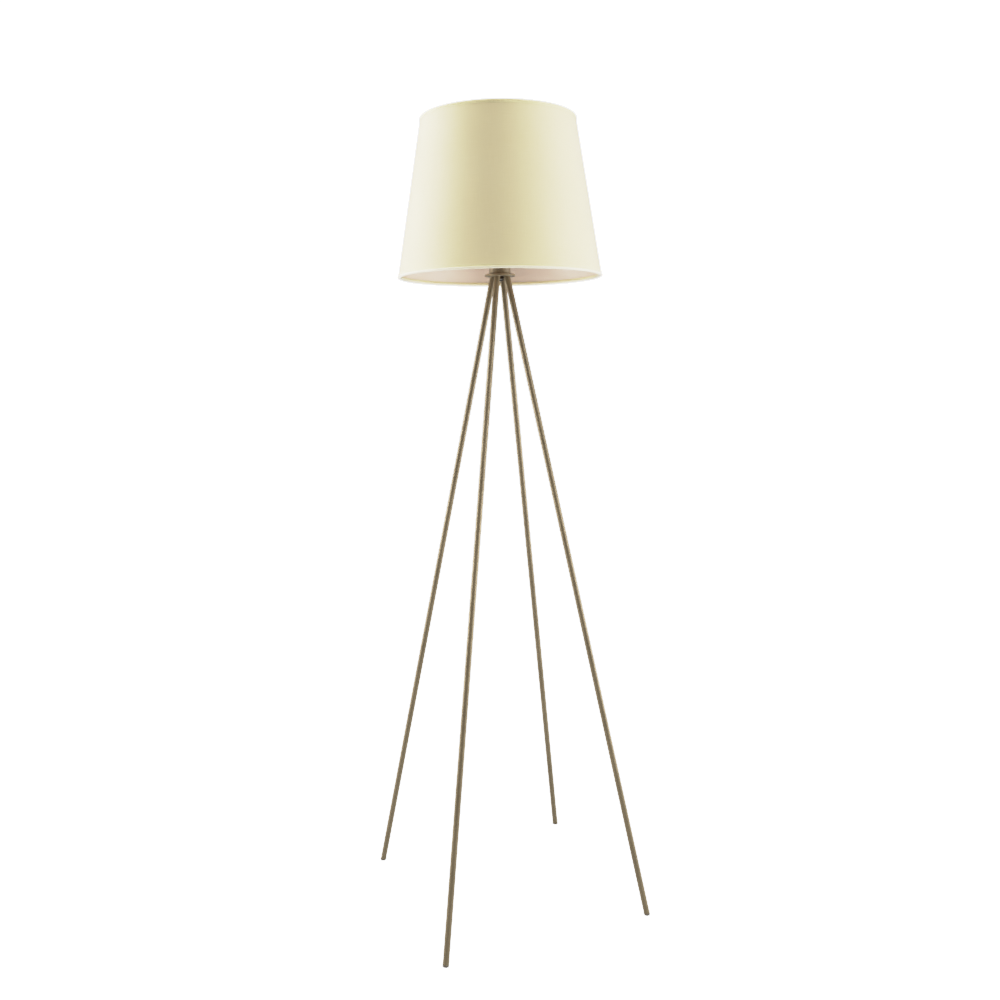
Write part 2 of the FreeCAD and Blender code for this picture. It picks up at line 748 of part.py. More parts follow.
def make_spoke(document, name):
    """A wire that climbs inside the wall from the bottom ring, bends, and runs in to the fitter."""
    foot_place = wall_point(BOTTOM_WIRE_HEIGHT + WIRE_RADIUS + size("weld_gap"), WIRE_DEPTH)
    hub_place = (size("fitter_diameter") / 2 + size("weld_gap"), (FITTER_BOTTOM + FITTER_TOP) / 2)
    foot = vector(foot_place)
    corner = vector(wall_point(size("spoke_corner_height"), WIRE_DEPTH))
    hub = vector(hub_place)
    down = (foot - corner).normalize()
    inward = (hub - corner).normalize()
    half_turn = down.getAngle(inward) / 2
    cut_back = SIZES["spoke_bend_radius"] / math.tan(half_turn)
    bisector = (down + inward).normalize()
    bend_low = corner + down * cut_back
    bend_high = corner + inward * cut_back
    centre = corner + bisector * (SIZES["spoke_bend_radius"] / math.sin(half_turn))
    bend_middle = centre - bisector * SIZES["spoke_bend_radius"]

    body = new_body(document, name)
    path = new_sketch(body, "XZ_Plane")
    path.addGeometry(Part.LineSegment(foot, bend_low), False)
    path.addGeometry(Part.Arc(bend_low, bend_middle, bend_high), False)
    path.addGeometry(Part.LineSegment(bend_high, hub), False)
    bend_start = first_point(path, 1, bend_low)
    bend_end = END if bend_start == START else START
    path.addConstraint(Sketcher.Constraint("Tangent", 0, END, 1, bend_start))
    path.addConstraint(Sketcher.Constraint("Tangent", 1, bend_end, 2, START))
    set_radius(path, 1, size("spoke_bend_radius"))
    pin_point(path, 0, START, foot_place)
    pin_point(path, 2, END, hub_place)

    section = body.newObject("Sketcher::SketchObject", "Section")
    section.AttachmentSupport = [(path, "Edge1")]
    section.MapMode = "NormalToEdge"
    section.MapPathParameter = 0
    draw_circle(section, (0, 0), WIRE_RADIUS)
    pipe = body.newObject("PartDesign::AdditivePipe", "Pipe")
    pipe.Profile = section
    pipe.Spine = (path, ["Edge1", "Edge2", "Edge3"])
    document.recompute()
    return body


def make_spokes(document):
    spokes = []
    for number in range(SIZES["spoke_count"]):
        spoke = make_spoke(document, f"fitter_spoke_{number + 1}")
        azimuth = SIZES["spoke_first_azimuth"] + number * 360 / SIZES["spoke_count"]
        around = FreeCAD.Rotation(FreeCAD.Vector(0, 0, 1), azimuth)
        spoke.Placement = FreeCAD.Placement(FreeCAD.Vector(), around)
        spokes.append(spoke)
    return spokes


def make_shade(document):
    fabric_inside = size("hem_thickness") + size("fabric_thickness")
    bottom = size("shade_bottom")
    bottom_ends = (bottom + size("bottom_hem_height"), BOTTOM_WIRE_HEIGHT + WIRE_RADIUS)
    top_ends = (SHADE_TOP - size("top_hem_height"), TOP_WIRE_HEIGHT - WIRE_RADIUS)
    return [
        make_skin(document, "shade_fabric", size("hem_thickness"), fabric_inside),
        make_skin(document, "shade_liner", fabric_inside, SKINS),
        make_hem(document, "bottom_hem", bottom, WALL_LOW, *bottom_ends),
        make_hem(document, "top_hem", SHADE_TOP, WALL_HIGH, *top_ends),
        make_wire_ring(document, "bottom_wire_ring", BOTTOM_WIRE_HEIGHT),
        make_wire_ring(document, "top_wire_ring", TOP_WIRE_HEIGHT),
        make_fitter_ring(document),
    ] + make_spokes(document)


# Bulb -----------------------------------------------------------------------------------------

BULB_TIP = size("bulb_tip_height")
BULB_RADIUS = size("bulb_diameter") / 2
GLOBE_CENTRE = BULB_TIP + size("bulb_length") - BULB_RADIUS
GLOBE_BOTTOM = GLOBE_CENTRE - size("globe_overlap")
HOUSING_BOTTOM = BULB_TIP + size("housing_low")
CAP_BOTTOM = BULB_TIP + size("cap_low")
CAP_RADIUS = size("cap_diameter") / 2


def make_bulb_globe(document):
    inner = BULB_RADIUS - size("bulb_shell")
    outer_rim = other_leg(BULB_RADIUS, size("globe_overlap"))
    inner_rim = other_leg(inner, size("globe_overlap"))
    corners = [(outer_rim, GLOBE_BOTTOM), (0, GLOBE_CENTRE + BULB_RADIUS)]
    corners += [(0, GLOBE_CENTRE + inner), (inner_rim, GLOBE_BOTTOM)]
    return revolve(document, "bulb_globe", corners, {0: (BULB_RADIUS, 1), 2: (inner, -1)})


def make_bulb_housing(document):
    """The plastic neck and flare between the screw cap and the globe."""
    neck = size("housing_neck_diameter") / 2
    wall = size("bulb_shell")
    neck_top = HOUSING_BOTTOM + size("housing_neck_height")
    rim = other_leg(BULB_RADIUS, size("globe_overlap"))
    flare = BULB_RADIUS * 2
    corners = [(neck - wall, HOUSING_BOTTOM), (neck, HOUSING_BOTTOM), (neck, neck_top)]
    corners += [(rim, GLOBE_BOTTOM), (rim - wall, GLOBE_BOTTOM), (neck - wall, neck_top)]
    arcs = {2: (flare, 1), 4: (flare - wall, -1)}
    return revolve(document, "bulb_housing", corners, arcs)


def make_bulb_cap(document):
    """The nickel screw cap; its threads fill the cylinder drawn here."""
    wall = size("cap_wall")
    edge = size("cap_edge")
    inner = CAP_RADIUS - wall
    hole = size("cap_insulator_diameter") / 2
    floor_top = CAP_BOTTOM + size("cap_floor")
    corners = [(hole, CAP_BOTTOM), (CAP_RADIUS - edge, CAP_BOTTOM), (CAP_RADIUS, CAP_BOTTOM + edge)]
    corners += [(CAP_RADIUS, HOUSING_BOTTOM), (inner, HOUSING_BOTTOM)]
    corners += [(inner, floor_top + edge), (inner - edge, floor_top), (hole, floor_top)]
    return revolve(document, "bulb_screw_cap", corners)


def make_bulb_cap_insulator(document):
    """The dark glass button between the cap and its centre contact."""
    low = BULB_TIP + size("cap_insulator_low")
    tip = size("tip_diameter") / 2
    rim = size("cap_insulator_diameter") / 2
    high = CAP_BOTTOM + size("cap_floor")
    corners = [(0, low), (tip, low), (rim, CAP_BOTTOM), (rim, high), (0, high)]
    return revolve(document, "bulb_cap_insulator", corners)


def make_bulb_tip(document):
    top = BULB_TIP + size("cap_insulator_low")
    tip = size("tip_diameter") / 2
    flat = size("tip_flat_diameter") / 2
    corners = [(0, BULB_TIP), (flat, BULB_TIP), (tip, top - size("tip_rim")), (tip, top), (0, top)]
    return revolve(document, "bulb_tip_contact", corners)


def make_led_plate(document):
    """The aluminium disc that carries the light source, set in the housing's rim."""
    bore = other_leg(BULB_RADIUS - size("bulb_shell"), size("globe_overlap"))
    top = GLOBE_BOTTOM + size("led_plate_thickness")
    span = rectangle(0, bore - size("led_plate_gap"), GLOBE_BOTTOM, top)
    return revolve(document, "led_plate", span)


def make_led_driver(document):
    sizes = {
        "Length": size("driver_width"),
        "Width": size("driver_thickness"),
        "Height": size("driver_height"),
    }
    low = (GLOBE_BOTTOM - size("driver_height")).value
    at = (-SIZES["driver_width"] / 2, -SIZES["driver_thickness"] / 2, low)
    return primitive(document, "Part::Box", "led_driver", sizes, at)


def make_bulb(document):
    return [
        make_bulb_globe(document),
        make_bulb_housing(document),
        make_bulb_cap(document),
        make_bulb_cap_insulator(document),
        make_bulb_tip(document),
        make_led_plate(document),
        make_led_driver(document),
    ]


def make_hub(document):
    return [
        make_hub_disc(document),
        make_wire_nipple(document),
        make_lock_washer(document),
        make_lock_nut(document),
        make_nipple_bush(document),
        make_holder_cup(document),
    ]


def make_lampholder(document):
    return [
        make_holder_base(document),
        make_lock_screw(document),
        make_holder_insulator(document),
        make_terminal(document, "live_terminal", -1),
        make_terminal(document, "neutral_terminal", 1),
        make_terminal_screws(document),
        make_centre_contact(document),
        make_screw_shell(document),
        make_holder_shell(document),
        make_shade_ring_lower(document),
        make_shade_ring_upper(document),
    ]


def check(document, pieces):
    for item in document.Objects:
        if "Invalid" in item.State or "Error" in item.State:
            raise RuntimeError(f"{item.Label}: {item.State}")
    for piece in pieces:
        shape = piece.Shape
        if shape.isNull() or not shape.isValid() or not shape.Solids:
            raise RuntimeError(f"{piece.Label}: no valid solid")


def main():
    document = FreeCAD.newDocument("FloorLamp")
    fill_sheet(document)
    pieces = make_legs(document) + make_hub(document) + make_lampholder(document)
    pieces += make_shade(document) + make_bulb(document)
    document.recompute()
    check(document, pieces)
    os.makedirs("parts", exist_ok=True)
    for piece in pieces:
        piece.Shape.exportStep(f"parts/{piece.Label}.step")
        print(f"{piece.Label}: {len(piece.Shape.Solids)} solid(s), {piece.Shape.Volume:.1f} mm3")


main()
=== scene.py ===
"""Looks of the four-legged floor lamp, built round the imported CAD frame.

Outlines are in millimetres and become metres when a mesh is made. Turned pieces are lists of
(radius, height) corners, with a third number where a corner has its own rounding. The places of
the camera and the lights, and the scales of the materials, are in metres.
"""

import json
import math

import bmesh
import bpy
import numpy as np
from mathutils import Matrix, Vector, noise


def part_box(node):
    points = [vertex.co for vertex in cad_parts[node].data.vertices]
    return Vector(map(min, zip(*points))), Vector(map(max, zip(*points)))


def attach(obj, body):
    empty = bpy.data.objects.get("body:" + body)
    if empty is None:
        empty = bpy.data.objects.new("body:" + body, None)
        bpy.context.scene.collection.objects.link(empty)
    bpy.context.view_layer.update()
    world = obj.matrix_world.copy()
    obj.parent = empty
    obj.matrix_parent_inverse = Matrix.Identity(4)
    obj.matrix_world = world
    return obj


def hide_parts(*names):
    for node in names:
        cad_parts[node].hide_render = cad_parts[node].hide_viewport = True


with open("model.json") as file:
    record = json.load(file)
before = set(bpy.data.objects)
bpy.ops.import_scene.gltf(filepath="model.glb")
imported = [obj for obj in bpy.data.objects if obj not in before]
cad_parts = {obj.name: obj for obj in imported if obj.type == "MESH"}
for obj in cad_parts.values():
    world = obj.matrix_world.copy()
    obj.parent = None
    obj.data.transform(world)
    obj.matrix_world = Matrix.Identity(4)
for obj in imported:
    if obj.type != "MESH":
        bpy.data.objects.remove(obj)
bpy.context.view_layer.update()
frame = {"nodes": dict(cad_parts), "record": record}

MM = 0.001
FULL_TURN = 2 * math.pi
ON_AXIS = 1e-6

# Camera and light ------------------------------------------------------------------------------

CAMERA_AZIMUTH = math.radians(-112.37)
CAMERA_DISTANCE = 1.953
CAMERA_HEIGHT = 1.1075
CAMERA_PITCH = math.radians(-7.86)
CAMERA_ROLL = math.radians(-0.76)
CAMERA_PAN = math.radians(-0.17)
CAMERA_LENS = 34.86
SENSOR_WIDTH = 36
FARTHEST_SEEN = 50
BACK_AZIMUTH = CAMERA_AZIMUTH + math.pi

to_camera = Vector((math.cos(CAMERA_AZIMUTH), math.sin(CAMERA_AZIMUTH), 0))
to_right = Vector((-math.sin(CAMERA_AZIMUTH), math.cos(CAMERA_AZIMUTH), 0))
UP = Vector((0, 0, 1))


def from_camera_side(right, near, height):
    """A point given by how far right of the lamp, how far towards the camera, and how high it is."""
    return to_right * right + to_camera * near + UP * height


def make_camera():
    data = bpy.data.cameras.new("camera")
    data.lens = CAMERA_LENS
    data.sensor_width = SENSOR_WIDTH
    data.clip_end = FARTHEST_SEEN
    camera = bpy.data.objects.new("camera", data)
    bpy.context.scene.collection.objects.link(camera)
    bpy.context.scene.camera = camera
    ahead = -to_camera * math.cos(CAMERA_PAN) + to_right * math.sin(CAMERA_PAN)
    right = to_right * math.cos(CAMERA_PAN) + to_camera * math.sin(CAMERA_PAN)
    forward = ahead * math.cos(CAMERA_PITCH) + UP * math.sin(CAMERA_PITCH)
    above = right.cross(forward)
    side = right * math.cos(CAMERA_ROLL) + above * math.sin(CAMERA_ROLL)
    top = above * math.cos(CAMERA_ROLL) - right * math.sin(CAMERA_ROLL)
    place = from_camera_side(0, CAMERA_DISTANCE, CAMERA_HEIGHT)
    turn = Matrix((side, top, -forward)).transposed()
    camera.matrix_world = Matrix.Translation(place) @ turn.to_4x4()


def area_light(name, place, target, width, height, power):
    data = bpy.data.lights.new(name, "AREA")
    data.shape = "RECTANGLE"
    data.size = width
    data.size_y = height
    data.energy = power
    light = bpy.data.objects.new(name, data)
    bpy.context.scene.collection.objects.link(light)
    light.location = place
    light.rotation_mode = "QUATERNION"
    light.rotation_quaternion = (target - place).to_track_quat("-Z", "Y")
    light.visible_camera = False


# Node graphs -----------------------------------------------------------------------------------


class Graph:
    """A node tree that is filled one node at a time."""

    def __init__(self, tree):
        self.tree = tree
        self.tree.nodes.clear()

    def connect(self, value, socket):
        if isinstance(value, bpy.types.NodeSocket):
            self.tree.links.new(value, socket)
        else:
            socket.default_value = value

    def add(self, kind, inputs=None, output=0, **settings):
        """Add a node and return one of its outputs, or the node itself where output is None."""
        node = self.tree.nodes.new("ShaderNode" + kind)
        for name, value in settings.items():
            setattr(node, name, value)
        for key, value in (inputs or {}).items():
            self.connect(value, node.inputs[key])
        return node if output is None else node.outputs[output]

    def math(self, operation, *values):
        return self.add("Math", dict(enumerate(values)), operation=operation)

    def noise(self, vector, scale, detail=3.0):
        return self.add("TexNoise", {"Vector": vector, "Scale": scale, "Detail": detail})

    def remap(self, value, low, high, from_low=0.3, from_high=0.7):
        inputs = {0: value, 1: from_low, 2: from_high, 3: low, 4: high}
        return self.add("MapRange", inputs)

    def blend(self, factor, first, second):
        inputs = {"Factor": factor, 6: (*first, 1), 7: (*second, 1)}
        return self.add("Mix", inputs, output=2, data_type="RGBA")

    def stretched(self, vector, scales):
        return self.add("Mapping", {"Vector": vector, "Scale": scales})

    def bump(self, height, distance, strength=1.0):
        inputs = {"Height": height, "Distance": distance, "Strength": strength}
        return self.add("Bump", inputs)

    def finish(self, shader):
        self.add("OutputMaterial", {"Surface": shader}, output=None)


materials = {}


def material_graph(name):
    material = bpy.data.materials.new(name)
    material.use_nodes = True
    materials[name] = material
    return Graph(material.node_tree)


def object_place(graph):
    return graph.add("TexCoord", output="Object")


def make_lacquer():
    """Satin metallic lacquer: a fine fleck, slow changes of tone and a slight orange peel."""
    graph = material_graph("antique_gold_paint")
    place = object_place(graph)
    slow = graph.noise(place, 14, 4)
    fleck = graph.noise(place, 1400, 2)
    tone = graph.math("ADD", graph.math("MULTIPLY", slow, 0.7), graph.math("MULTIPLY", fleck, 0.3))
    color = graph.blend(graph.remap(tone, 0, 1), (0.155, 0.119, 0.068), (0.215, 0.168, 0.098))
    peel = graph.bump(graph.noise(place, 420, 2), 0.00012, 0.5)
    surface = {
        "Base Color": color,
        "Metallic": 0.35,
        "Roughness": graph.remap(graph.noise(place, 60, 4), 0.40, 0.52),
        "Normal": peel,
    }
    graph.finish(graph.add("BsdfPrincipled", surface))


def make_plain(name, light, dark, roughness, grain, relief, metallic=0.0, stretch=None):
    """A moulded, cast or plated surface whose tone, gloss and relief follow fine noise."""
    graph = material_graph(name)
    place = object_place(graph)
    if stretch:
        place = graph.stretched(place, stretch)
    fine = graph.noise(place, grain, 3)
    slow = graph.noise(place, grain / 25, 4)
    surface = {
        "Base Color": graph.blend(graph.remap(slow, 0, 1), dark, light),
        "Metallic": metallic,
        "Roughness": graph.remap(slow, roughness - 0.06, roughness + 0.06),
        "Normal": graph.bump(fine, relief),
    }
    graph.finish(graph.add("BsdfPrincipled", surface))


# The shade's wall leans in by one part in six. Thread pitch and the top of the painted highlight on the
# lower hem's roll are in metres.
SHADE_SLOPE = 1 / 6
SHADE_SINE = SHADE_SLOPE / math.hypot(1, SHADE_SLOPE)
THREAD_PITCH = 0.0006
# Below this height the hem cloth is painted lighter: a painted highlight on the lower hem's roll.
PAINTED_HIGHLIGHT_TOP = 1.2834


def cloth_threads(graph):
    """Where a point lay on the flat cloth before the cloth was wrapped into the cone, in metres."""
    turn = (0, 0, math.pi - BACK_AZIMUTH)
    place = graph.add("Mapping", {"Vector": object_place(graph), "Rotation": turn})
    parts = graph.add("SeparateXYZ", {0: place}, output=None).outputs
    around = graph.math("MULTIPLY", graph.math("ARCTAN2", parts[1], parts[0]), SHADE_SINE)
    squares = [graph.math("MULTIPLY", part, part) for part in (parts[0], parts[1])]
    radius = graph.math("SQRT", graph.math("ADD", *squares))
    slant = graph.math("DIVIDE", radius, SHADE_SINE)
    across = graph.math("MULTIPLY", slant, graph.math("SINE", around))
    along = graph.math("MULTIPLY", slant, graph.math("COSINE", around))
    return across, along


def make_cloth(name, light, dark, translucent, glow, painted_highlight=None):
    """Plain-weave cloth with uneven threads; below a given height it may be painted lighter, a painted
    highlight on the lowest roll of the hem.
    """
    graph = material_graph(name)
    across, along = cloth_threads(graph)
    flat = graph.add("CombineXYZ", {0: across, 1: along})
    step = math.pi / THREAD_PITCH
    crossings = [graph.math("SINE", graph.math("MULTIPLY", way, step)) for way in (across, along)]
    weave = graph.math("MULTIPLY", *crossings)
    warp = graph.noise(graph.stretched(flat, (1500, 30, 1)), 1, 2)
    weft = graph.noise(graph.stretched(flat, (30, 1500, 1)), 1, 2)
    slubs = graph.math("MULTIPLY", graph.math("ADD", warp, weft), 0.5)
    clouds = graph.noise(flat, 9, 3)
    tone = graph.math("ADD", graph.math("MULTIPLY", slubs, 0.75), graph.math("MULTIPLY", clouds, 0.25))
    color = graph.blend(graph.remap(tone, 0, 1, 0.35, 0.65), dark, light)
    # Below the top of the hem's lowest roll the colour is swapped for a lighter one: a painted
    # highlight for the light that roll catches from below.
    if painted_highlight:
        height = graph.add("SeparateXYZ", {0: object_place(graph)}, output="Z")
        low = graph.math("LESS_THAN", height, PAINTED_HIGHLIGHT_TOP)
        mixed = {"Factor": low, 6: color, 7: (*painted_highlight, 1)}
        color = graph.add("Mix", mixed, output=2, data_type="RGBA")
    relief = graph.math("ADD", graph.math("MULTIPLY", weave, 0.5), graph.math("MULTIPLY", slubs, 2.0))
    normal = graph.bump(relief, 0.00005, 0.6)
    surface = {
        "Base Color": color,
        "Roughness": graph.remap(slubs, 0.72, 0.82),
        "Sheen Weight": 0.9,
        "Sheen Roughness": 0.4,
        "Sheen Tint": (1, 0.99, 0.95, 1),
        "Normal": normal,
    }
    front = graph.add("BsdfPrincipled", surface)
    through = graph.add("BsdfTranslucent", {"Color": (*glow, 1), "Normal": normal})
    graph.finish(graph.add("MixShader", {0: translucent, 1: front, 2: through}))


def make_sheet_plastic(name, light, dark, roughness, translucent):
    """Smooth plastic that lets some light through: the shade's lining or the bulb's globe."""
    graph = material_graph(name)
    place = object_place(graph)
    color = graph.blend(graph.remap(graph.noise(place, 12, 4), 0, 1), dark, light)
    normal = graph.bump(graph.noise(place, 900, 2), 0.00002, 0.6)
    surface = {
        "Base Color": color,
        "Roughness": graph.remap(graph.noise(place, 40, 3), roughness - 0.05, roughness + 0.05),
        "Normal": normal,
    }
    front = graph.add("BsdfPrincipled", surface)
    through = graph.add("BsdfTranslucent", {"Color": color, "Normal": normal})
    graph.finish(graph.add("MixShader", {0: translucent, 1: front, 2: through}))


def make_materials():
    make_lacquer()
    make_plain("brown_plastic", (0.125, 0.105, 0.08), (0.09, 0.075, 0.055), 0.5, 900, 0.00004)
    make_plain("black_plastic", (0.028, 0.028, 0.029), (0.018, 0.018, 0.019), 0.42, 1600, 0.00004)
    make_plain("bronzed_steel", (0.12, 0.09, 0.06), (0.06, 0.045, 0.03), 0.4, 700, 0.00003, 0.8)
    zinc_scratch = (0.25, 0.25, 4.0)
    make_plain(
        "zinc_steel", (0.62, 0.62, 0.61), (0.47, 0.47, 0.48), 0.34, 900, 0.00003, 1.0, zinc_scratch
    )
    make_plain("contact_ceramic", (0.84, 0.82, 0.77), (0.74, 0.71, 0.65), 0.7, 1200, 0.00006)
    make_plain("contact_brass", (0.72, 0.52, 0.22), (0.55, 0.38, 0.15), 0.3, 600, 0.00002, 1.0)
    make_cloth("shade_fabric", (0.87, 0.79, 0.52), (0.80, 0.72, 0.45), 0.3, (0.88, 0.76, 0.38))
    # The paler colour for the lower hem's roll is a painted highlight for the light that roll catches
    # from below.
    painted_highlight_colour = (0.90, 0.83, 0.62)
    make_cloth("shade_hem", (0.85, 0.77, 0.46), (0.78, 0.70, 0.40), 0.15, (0.9, 0.84, 0.62), painted_highlight_colour)
    make_sheet_plastic("shade_liner", (0.89, 0.785, 0.69), (0.86, 0.75, 0.65), 0.5, 0.4)
    make_plain("white_wire", (0.84, 0.83, 0.80), (0.78, 0.77, 0.74), 0.42, 500, 0.00004)
    make_sheet_plastic("opal_plastic", (0.92, 0.92, 0.91), (0.89, 0.89, 0.87), 0.3, 0.3)
    make_plain("bulb_white_plastic", (0.88, 0.88, 0.87), (0.84, 0.84, 0.83), 0.3, 700, 0.00001)
    make_plain("nickel_plate", (0.70, 0.68, 0.64), (0.58, 0.56, 0.52), 0.24, 500, 0.00001, 1.0)
    make_plain("cap_glass", (0.02, 0.02, 0.022), (0.012, 0.012, 0.012), 0.1, 300, 0.00001)
    brushed = (0.2, 3.0, 1.0)
    make_plain(
        "heat_aluminium", (0.78, 0.78, 0.79), (0.66, 0.66, 0.68), 0.36, 900, 0.00002, 1.0, brushed
    )
    make_plain("circuit_board", (0.03, 0.20, 0.08), (0.015, 0.10, 0.04), 0.4, 600, 0.00004)


# Mesh helpers ----------------------------------------------------------------------------------


def rounded(corners, rounding=0.15, steps=4):
    """Round the corners of a closed outline. A corner's third number is its own rounding."""
    places = [Vector(corner[:2]) for corner in corners]
    outline = []
    for number, place in enumerate(places):
        own = corners[number][2] if len(corners[number]) > 2 else rounding
        before = places[number - 1] - place
        after = places[(number + 1) % len(places)] - place
        cut = min(own, before.length * 0.45, after.length * 0.45)
        if place.x < ON_AXIS or cut <= 0:
            outline.append(tuple(place))
            continue
        start = place + before.normalized() * cut
        end = place + after.normalized() * cut
        for step in range(steps + 1):
            t = step / steps
            point = start * (1 - t) ** 2 + place * (2 * t * (1 - t)) + end * t**2
            outline.append(tuple(point))
    return outline


def turned(outline, segments=96, shape=None):
    """Turn a closed outline about Z. shape(angle, radius, height) may move each vertex."""
    vertices, rings = [], []
    for radius, height in outline:
        count = 1 if radius < ON_AXIS else segments
        rings.append(range(len(vertices), len(vertices) + count))
        for step in range(count):
            angle = FULL_TURN * step / segments
            r, z = shape(angle, radius, height) if shape and count > 1 else (radius, height)
            vertices.append((r * math.cos(angle), r * math.sin(angle), z))
    faces = []
    for number, ring in enumerate(rings):
        after = rings[(number + 1) % len(rings)]
        if len(ring) == 1 and len(after) == 1:
            continue
        for step in range(segments):
            ahead = (step + 1) % segments
            corners = (ring[step % len(ring)], ring[ahead % len(ring)])
            corners += (after[ahead % len(after)], after[step % len(after)])
            faces.append(list(dict.fromkeys(corners)))
    return vertices, faces


def swept(points, radius, sides=20):
    """A round bar along a line of points, closed at both ends."""
    points = [Vector(point) for point in points]
    vertices, faces = [], []
    across = None
    for number, point in enumerate(points):
        before = points[max(number - 1, 0)]
        after = points[min(number + 1, len(points) - 1)]
        along = (after - before).normalized()
        if across is None:
            across = along.orthogonal().normalized()
        across = (across - along * across.dot(along)).normalized()
        other = along.cross(across)
        for side in range(sides):
            angle = FULL_TURN * side / sides
            vertices.append(point + (across * math.cos(angle) + other * math.sin(angle)) * radius)
    for number in range(len(points) - 1):
        for side in range(sides):
            ahead = (side + 1) % sides
            ring = number * sides
            faces.append((ring + side, ring + ahead, ring + sides + ahead, ring + sides + side))
    faces.append(tuple(range(sides)))
    faces.append(tuple(range(len(vertices) - sides, len(vertices))))
    return vertices, faces


def add_piece(name, geometry, slot, body, stands_for=(), place=None, cut=None, sharp=38):
    """Make a mesh piece in metres, give it its material, body and slot, and hide its CAD nodes."""
    vertices, faces = geometry
    mesh = bpy.data.meshes.new(name)
    mesh.from_pydata([tuple(Vector(vertex) * MM) for vertex in vertices], [], faces)
    if place is not None:
        mesh.transform(place)
    tool = bmesh.new()
    tool.from_mesh(mesh)
    if cut is not None:
        height, keep_above = cut
        everything = tool.verts[:] + tool.edges[:] + tool.faces[:]
        level = {"plane_co": (0, 0, height * MM), "plane_no": (0, 0, 1)}
        sides = {"clear_inner": keep_above, "clear_outer": not keep_above}
        bmesh.ops.bisect_plane(tool, geom=everything, **level, **sides)
        bmesh.ops.holes_fill(tool, edges=[edge for edge in tool.edges if edge.is_boundary])
    bmesh.ops.remove_doubles(tool, verts=tool.verts, dist=1e-6)
    bmesh.ops.recalc_face_normals(tool, faces=tool.faces)
    tool.to_mesh(mesh)
    tool.free()
    mesh.materials.append(materials[slot])
    mesh.shade_smooth()
    mesh.set_sharp_from_angle(angle=math.radians(sharp))
    piece = bpy.data.objects.new(name, mesh)
    bpy.context.scene.collection.objects.link(piece)
    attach(piece, body)
    if stands_for:
        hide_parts(*stands_for)
    return piece


def span(node):
    """The lowest and highest height of a CAD node and its greatest radius, in millimetres."""
    low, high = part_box(node)
    return low.z / MM, high.z / MM, max(high.x, high.y) / MM


def cad_points(node):
    points = np.array([vertex.co for vertex in frame["nodes"][node].data.vertices])
    return np.unique(np.round(points, 6), axis=0)


def ripple(angle, height, pitch):
    """The profile of a right-hand thread, from 0 in the groove to 1 on the crest."""
    wave = 1.5 * math.cos(FULL_TURN * height / pitch - angle)
    return 0.5 + 0.5 * max(-1, min(1, wave))


def fade(value, start, end):
    """0 before start, 1 after end and a smooth change between; end may come first."""
    t = max(0, min(1, (value - start) / (end - start)))
    return t * t * (3 - 2 * t)


def rows(start, end, step):
    count = max(1, round(abs(end - start) / step))
    return [start + (end - start) * number / count for number in range(count + 1)]


# Legs ------------------------------------------------------------------------------------------

TUBE_RADIUS = 6
TUBE_BORE_RADIUS = 5
TUBE_EDGE = 0.35
STUD_RADIUS = 2.9
STUD_LENGTH = 20
COLLAR_RISE = 9
FOOT_DEPTH = 4.5
FOOT_PLUG = 14
FOOT_PROUD = 0.15
LEG_SEGMENTS = 64


def leg_place(number):
    """The frame of a leg: its origin is the top of the tube and its Z axis points up the tube."""
    points = cad_points(f"leg_tube_{number}")
    centre = points.mean(0)
    along = np.linalg.svd(points - centre, full_matrices=False)[2][0]
    along *= np.sign(along[2])
    reach = (points - centre) @ along
    axis = Vector(along)
    top = Vector(centre) + axis * reach.max()
    outward = Vector((top.x, top.y, 0)).normalized()
    side = axis.cross(outward).normalized()
    turn = Matrix((side.cross(axis), side, axis)).transposed()
    length = (reach.max() - reach.min()) / MM
    return Matrix.Translation(top) @ turn.to_4x4(), length


def make_leg(number):
    place, length = leg_place(number)
    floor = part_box(f"foot_cap_{number}")[0].z / MM
    disc_low, _disc_high, _rim = span("hub_disc")
    tube = rounded(
        [
            (TUBE_BORE_RADIUS, 0),
            (TUBE_BORE_RADIUS, -length),
            (TUBE_RADIUS, -length, TUBE_EDGE),
            (TUBE_RADIUS, 0, TUBE_EDGE),
        ]
    )
    names = (f"leg_tube_{number}",)
    add_piece(f"leg_{number}", turned(tube, LEG_SEGMENTS), "antique_gold_paint", "stand", names, place)

    collar = [(0, -STUD_LENGTH), (STUD_RADIUS, -STUD_LENGTH, 0.5), (STUD_RADIUS, 0, 0)]
    collar += [(TUBE_RADIUS, 0, TUBE_EDGE), (TUBE_RADIUS, COLLAR_RISE, 0), (0, COLLAR_RISE)]
    names = (f"leg_stub_{number}",)
    geometry = turned(rounded(collar), LEG_SEGMENTS)
    cut = (disc_low, False)
    add_piece(f"collar_{number}", geometry, "antique_gold_paint", "stand", names, place, cut)

    rim, plug = TUBE_RADIUS + FOOT_PROUD, TUBE_BORE_RADIUS - 0.05
    cap = [(0, -length - FOOT_DEPTH), (TUBE_RADIUS - 0.6, -length - FOOT_DEPTH, 0.4)]
    cap += [(rim, -length - FOOT_DEPTH + 0.9, 0.4), (rim, -length, 0.3)]
    cap += [(plug, -length, 0), (plug, -length + FOOT_PLUG), (0, -length + FOOT_PLUG)]
    names = (f"foot_cap_{number}",)
    geometry = turned(rounded(cap), LEG_SEGMENTS)
    add_piece(f"foot_{number}", geometry, "brown_plastic", "stand", names, place, (floor, True))
    make_weld(number, place, disc_low)


WELD_SIZE = 0.8
WELD_STEPS = 72
WELD_SIDES = 12


